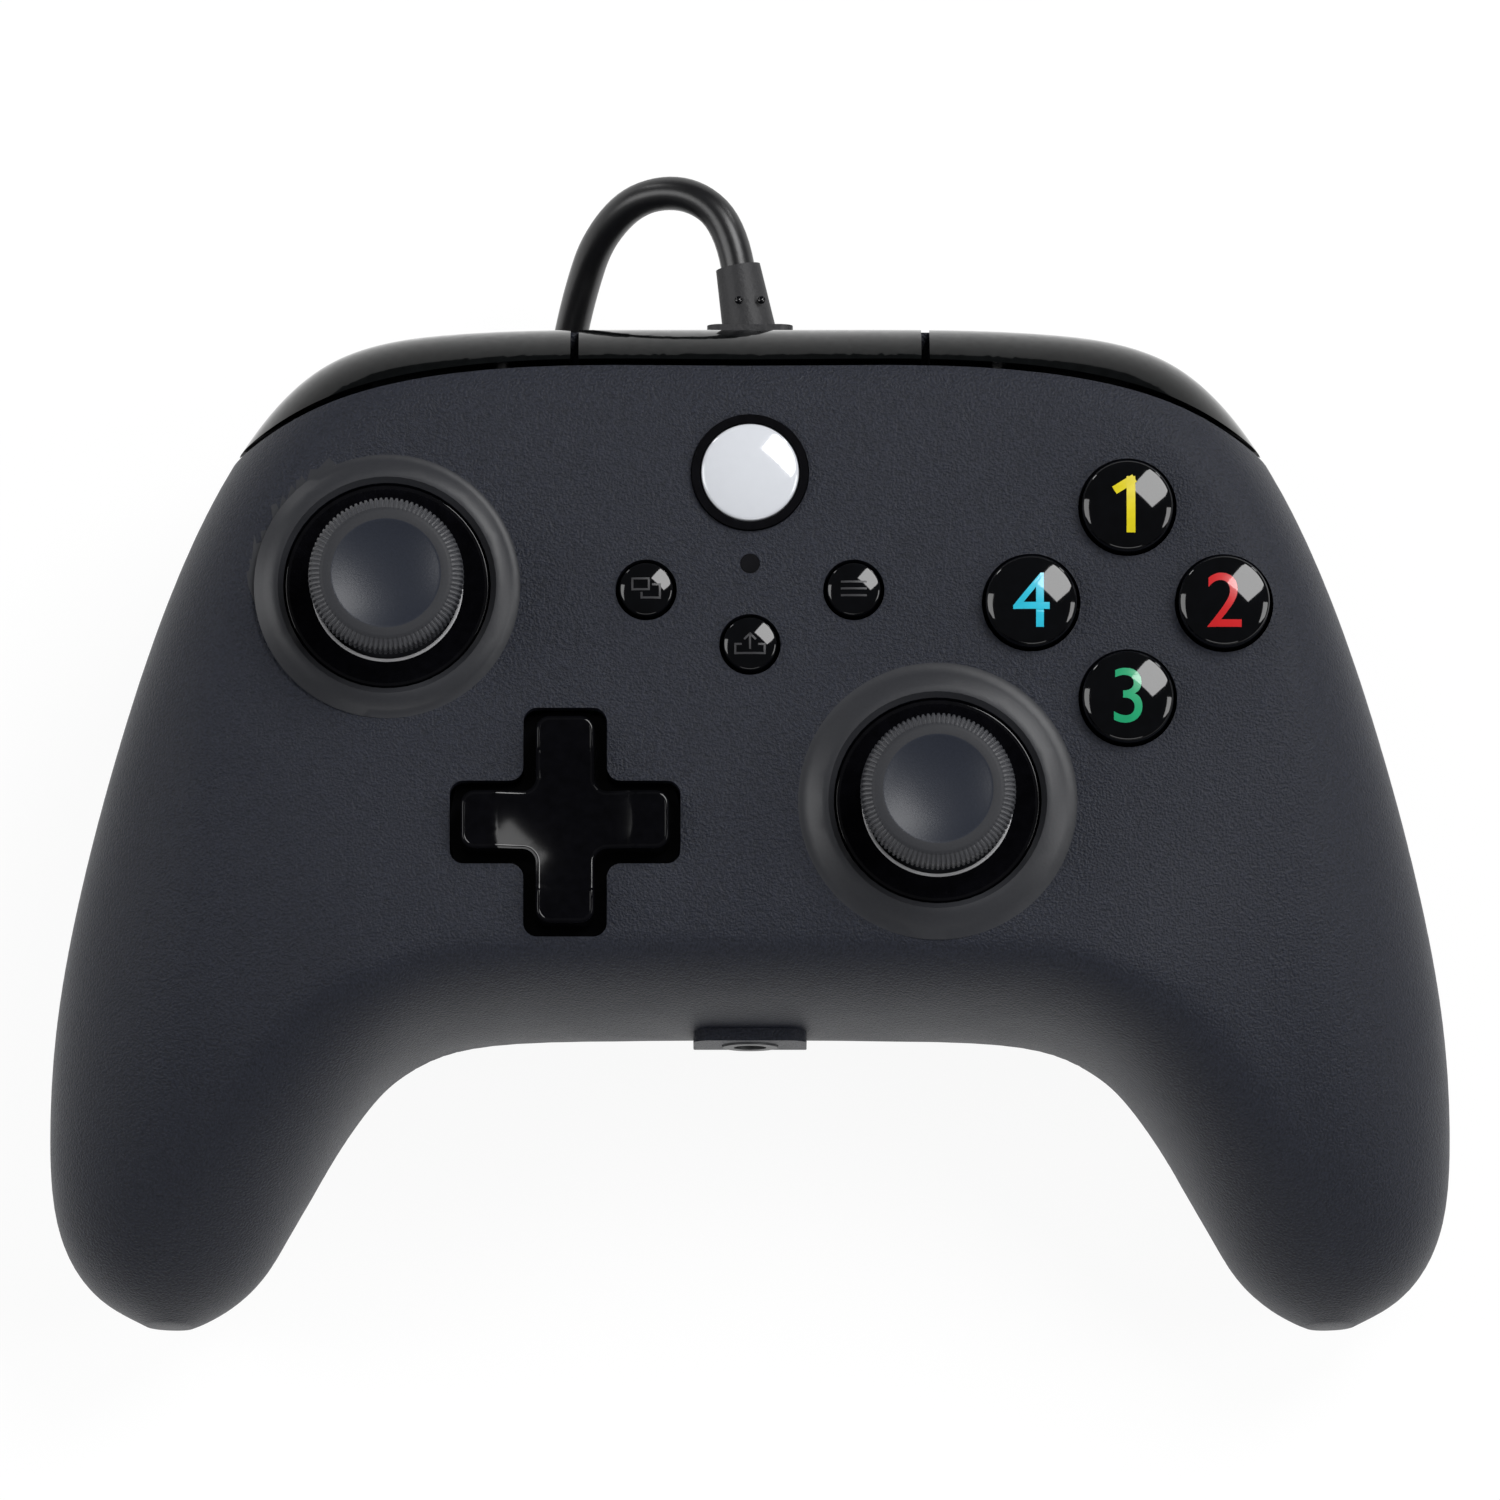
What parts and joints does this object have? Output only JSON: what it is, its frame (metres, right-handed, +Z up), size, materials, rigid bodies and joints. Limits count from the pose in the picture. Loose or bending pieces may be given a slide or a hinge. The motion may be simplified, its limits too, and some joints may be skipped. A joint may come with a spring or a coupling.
{
  "type": "gamepad controller",
  "caption": "Wired gamepad with two thumbsticks, a direction pad, face buttons, bumpers, triggers, rumble motors and a coiled cord.",
  "frame": {"origin": "under the middle of the housing, at the level of the table it lies on", "axes": "+X to the user's right, +Y away from the user towards the cord, +Z up through the face"},
  "size_m": [0.1536, 0.1257, 0.0615],
  "materials": {
    "shell_grey": "fine spark-eroded grain",
    "black_gloss": "polished",
    "black_matte": "fine grain",
    "cap_rubber": "matte, knurled edge",
    "keypad_rubber": "matte",
    "lens_white": "milky",
    "lens_clear": "clear",
    "board_green": "lacquered",
    "steel": "plain",
    "zinc_steel": "bright plated",
    "brass_weight": "machined",
    "cord_black": "smooth",
    "switch_body": "plain"
  },
  "bodies": {
    "housing": {"action_keypad": "keypad_rubber", "back_shell": "shell_grey", "board_screws": "zinc_steel", "bumper_bridge": "black_gloss", "bumper_switches": "switch_body", "button_board": "board_green", "centre_keypad": "keypad_rubber", "cord_boot": "black_matte", "cord_coil": "cord_black", "cord_lead": "cord_black", "cord_plug_end": "cord_black", "cord_socket": "lens_white", "cord_ties": "black_matte", "direction_keypad": "keypad_rubber", "front_shell": "shell_grey", "headset_jack": "black_matte", "home_ring": "black_gloss", "left_rumble_motor": "steel", "left_stick_case": "zinc_steel", "left_stick_ring": "black_gloss", "left_stick_sensors": "switch_body", "left_stick_switch": "switch_body", "main_board": "board_green", "plug_overmould": "black_matte", "right_rumble_motor": "steel", "right_stick_case": "zinc_steel", "right_stick_ring": "black_gloss", "right_stick_sensors": "switch_body", "right_stick_switch": "switch_body", "shell_screws": "zinc_steel", "status_lens": "lens_clear", "trigger_pins": "steel", "trigger_springs": "steel", "usb_plug": "zinc_steel"},
    "left_ring_yoke": {"left_stick_ring_yoke": "black_matte"},
    "left_pivot": {"left_stick_pivot": "black_matte"},
    "left_stick": {"left_stick_cap": "cap_rubber", "left_stick_stem": "black_matte"},
    "left_slide_yoke": {"left_stick_slide_yoke": "black_matte"},
    "right_ring_yoke": {"right_stick_ring_yoke": "black_matte"},
    "right_pivot": {"right_stick_pivot": "black_matte"},
    "right_stick": {"right_stick_cap": "cap_rubber", "right_stick_stem": "black_matte"},
    "right_slide_yoke": {"right_stick_slide_yoke": "black_matte"},
    "pad_rocker": {"direction_pad_rocker": "black_matte"},
    "direction_pad": {"direction_pad": "black_gloss"},
    "north_button": {"north_button": "black_gloss"},
    "east_button": {"east_button": "black_gloss"},
    "south_button": {"south_button": "black_gloss"},
    "west_button": {"west_button": "black_gloss"},
    "back_button": {"back_button": "black_gloss"},
    "start_button": {"start_button": "black_gloss"},
    "capture_button": {"capture_button": "black_gloss"},
    "home_button": {"home_button": "lens_white"},
    "left_bumper": {"left_bumper": "black_gloss"},
    "right_bumper": {"right_bumper": "black_gloss"},
    "left_trigger": {"left_trigger": "black_matte"},
    "left_weight": {"left_rumble_weight": "brass_weight"},
    "right_trigger": {"right_trigger": "black_matte"},
    "right_weight": {"right_rumble_weight": "brass_weight"}
  },
  "joints": [
    {"name": "left_stick_up_down", "type": "hinge", "parent": "housing", "child": "left_ring_yoke", "pos_m": [-0.0395, 0.0235, 0.0425], "axis": [1, 0, 0], "range_deg": [-15, 15], "stiffness_Nm_per_rad": 0.012},
    {"name": "left_stick_left_right", "type": "hinge", "parent": "left_ring_yoke", "child": "left_pivot", "pos_m": [-0.0395, 0.0235, 0.0425], "axis": [0, 1, 0], "range_deg": [-15, 15], "stiffness_Nm_per_rad": 0.012},
    {"name": "left_stick_click", "type": "slide", "parent": "left_pivot", "child": "left_stick", "axis": [0, 0, 1], "range_m": [-0.0005, 0], "stiffness_N_per_m": 2000, "springref_m": 0.0006},
    {"name": "left_slide_yoke_turn", "type": "hinge", "parent": "housing", "child": "left_slide_yoke", "pos_m": [-0.0395, 0.0235, 0.0425], "axis": [0, 1, 0], "range_deg": [-15, 15]},
    {"name": "right_stick_up_down", "type": "hinge", "parent": "housing", "child": "right_ring_yoke", "pos_m": [0.0204, -0.0001, 0.0425], "axis": [1, 0, 0], "range_deg": [-15, 15], "stiffness_Nm_per_rad": 0.012},
    {"name": "right_stick_left_right", "type": "hinge", "parent": "right_ring_yoke", "child": "right_pivot", "pos_m": [0.0204, -0.0001, 0.0425], "axis": [0, 1, 0], "range_deg": [-15, 15], "stiffness_Nm_per_rad": 0.012},
    {"name": "right_stick_click", "type": "slide", "parent": "right_pivot", "child": "right_stick", "axis": [0, 0, 1], "range_m": [-0.0005, 0], "stiffness_N_per_m": 2000, "springref_m": 0.0006},
    {"name": "right_slide_yoke_turn", "type": "hinge", "parent": "housing", "child": "right_slide_yoke", "pos_m": [0.0204, -0.0001, 0.0425], "axis": [0, 1, 0], "range_deg": [-15, 15]},
    {"name": "pad_up_down", "type": "hinge", "parent": "housing", "child": "pad_rocker", "pos_m": [-0.0201, -0.0024, 0.046], "axis": [1, 0, 0], "range_deg": [-4, 4], "stiffness_Nm_per_rad": 0.02},
    {"name": "pad_left_right", "type": "hinge", "parent": "pad_rocker", "child": "direction_pad", "pos_m": [-0.0201, -0.0024, 0.046], "axis": [0, 1, 0], "range_deg": [-4, 4], "stiffness_Nm_per_rad": 0.02},
    {"name": "north_press", "type": "slide", "parent": "housing", "child": "north_button", "axis": [0, 0, 1], "range_m": [-0.0012, 0], "stiffness_N_per_m": 300, "springref_m": 0.0005},
    {"name": "east_press", "type": "slide", "parent": "housing", "child": "east_button", "axis": [0, 0, 1], "range_m": [-0.0012, 0], "stiffness_N_per_m": 300, "springref_m": 0.0005},
    {"name": "south_press", "type": "slide", "parent": "housing", "child": "south_button", "axis": [0, 0, 1], "range_m": [-0.0012, 0], "stiffness_N_per_m": 300, "springref_m": 0.0005},
    {"name": "west_press", "type": "slide", "parent": "housing", "child": "west_button", "axis": [0, 0, 1], "range_m": [-0.0012, 0], "stiffness_N_per_m": 300, "springref_m": 0.0005},
    {"name": "back_press", "type": "slide", "parent": "housing", "child": "back_button", "axis": [0, 0, 1], "range_m": [-0.0005, 0], "stiffness_N_per_m": 600, "springref_m": 0.0004},
    {"name": "start_press", "type": "slide", "parent": "housing", "child": "start_button", "axis": [0, 0, 1], "range_m": [-0.0005, 0], "stiffness_N_per_m": 600, "springref_m": 0.0004},
    {"name": "capture_press", "type": "slide", "parent": "housing", "child": "capture_button", "axis": [0, 0, 1], "range_m": [-0.0005, 0], "stiffness_N_per_m": 600, "springref_m": 0.0004},
    {"name": "home_press", "type": "slide", "parent": "housing", "child": "home_button", "axis": [0, 0, 1], "range_m": [-0.0005, 0], "stiffness_N_per_m": 600, "springref_m": 0.0004},
    {"name": "left_bumper_press", "type": "hinge", "parent": "housing", "child": "left_bumper", "pos_m": [-0.0224, 0.051, 0.042], "axis": [0, 0, 1], "range_deg": [0, 1], "stiffness_Nm_per_rad": 1.2, "springref_deg": -0.57},
    {"name": "right_bumper_press", "type": "hinge", "parent": "housing", "child": "right_bumper", "pos_m": [0.0224, 0.051, 0.042], "axis": [0, 0, 1], "range_deg": [-1, 0], "stiffness_Nm_per_rad": 1.2, "springref_deg": 0.57},
    {"name": "left_trigger_pull", "type": "hinge", "parent": "housing", "child": "left_trigger", "pos_m": [-0.04, 0.0385, 0.0335], "axis": [1, 0, 0], "range_deg": [-18, 0], "stiffness_Nm_per_rad": 0.05, "springref_deg": 6.88},
    {"name": "left_weight_spin", "type": "hinge", "parent": "housing", "child": "left_weight", "pos_m": [-0.061, -0.02, 0.0205], "axis": [0, 1, 0], "continuous": true},
    {"name": "right_trigger_pull", "type": "hinge", "parent": "housing", "child": "right_trigger", "pos_m": [0.04, 0.0385, 0.0335], "axis": [1, 0, 0], "range_deg": [-18, 0], "stiffness_Nm_per_rad": 0.05, "springref_deg": 6.88},
    {"name": "right_weight_spin", "type": "hinge", "parent": "housing", "child": "right_weight", "pos_m": [0.061, -0.02, 0.0205], "axis": [0, 1, 0], "continuous": true}
  ],
  "couplings": [
    {"joint": "left_slide_yoke_turn", "follows": "left_stick_left_right", "ratio": 1},
    {"joint": "right_slide_yoke_turn", "follows": "right_stick_left_right", "ratio": 1}
  ]
}
